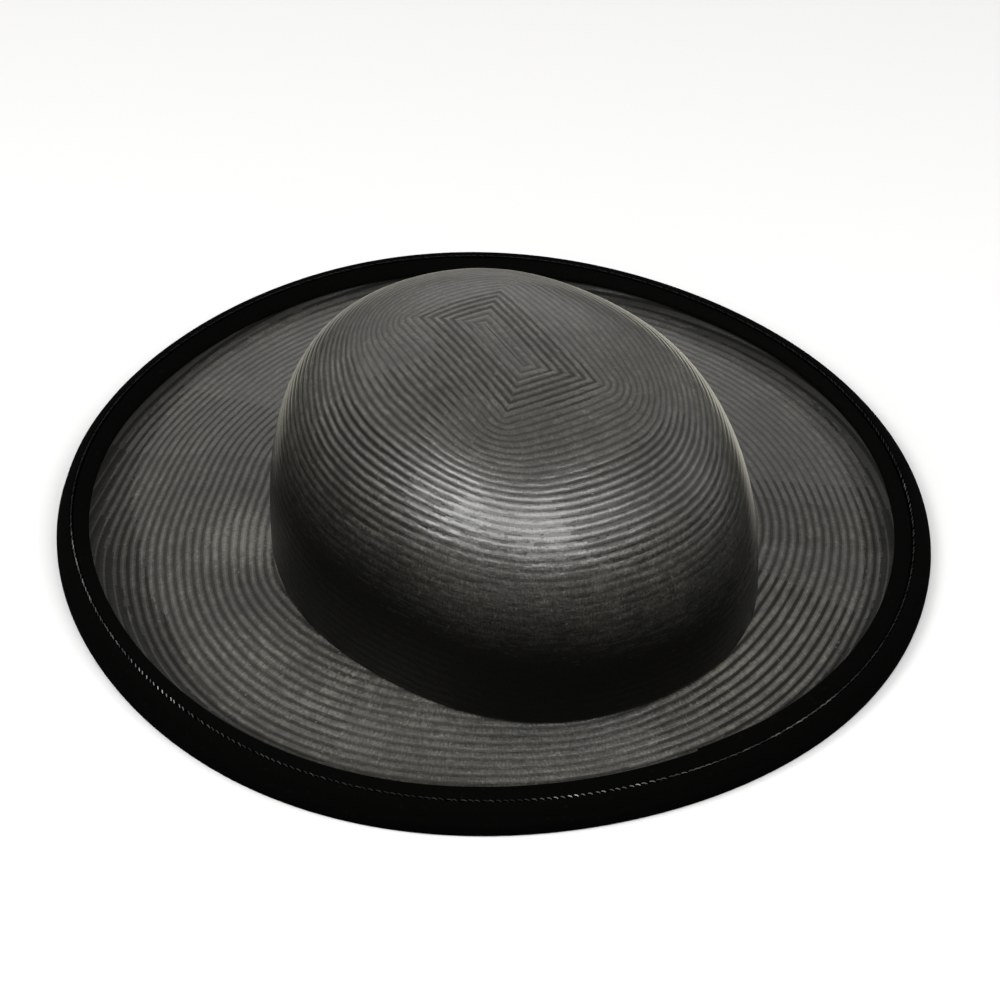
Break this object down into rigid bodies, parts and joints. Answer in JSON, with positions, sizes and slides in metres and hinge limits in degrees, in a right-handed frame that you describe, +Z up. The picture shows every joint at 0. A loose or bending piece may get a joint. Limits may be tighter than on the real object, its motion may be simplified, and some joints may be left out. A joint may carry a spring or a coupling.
{
  "type": "wide-brim straw hat",
  "caption": "Wide-brim black straw hat with an oval domed crown, sloping brim and velvet-bound raised edge, resting on its brim.",
  "frame": {"origin": "on the surface that the hat rests on, under the middle of the brim's bounding box", "axes": "+Z up through the crown, +Y towards the back of the hat, -Y towards its front, +X to its right side seen from the back"},
  "size_m": [0.3156, 0.3218, 0.1055],
  "materials": {
    "straw": "satin",
    "velvet": "matte",
    "ribbon": "matte"
  },
  "bodies": {
    "root": {"crown": "straw", "brim": "straw", "headband": "ribbon", "edge_binding": "velvet", "edge_roll": "velvet"}
  },
  "joints": []
}
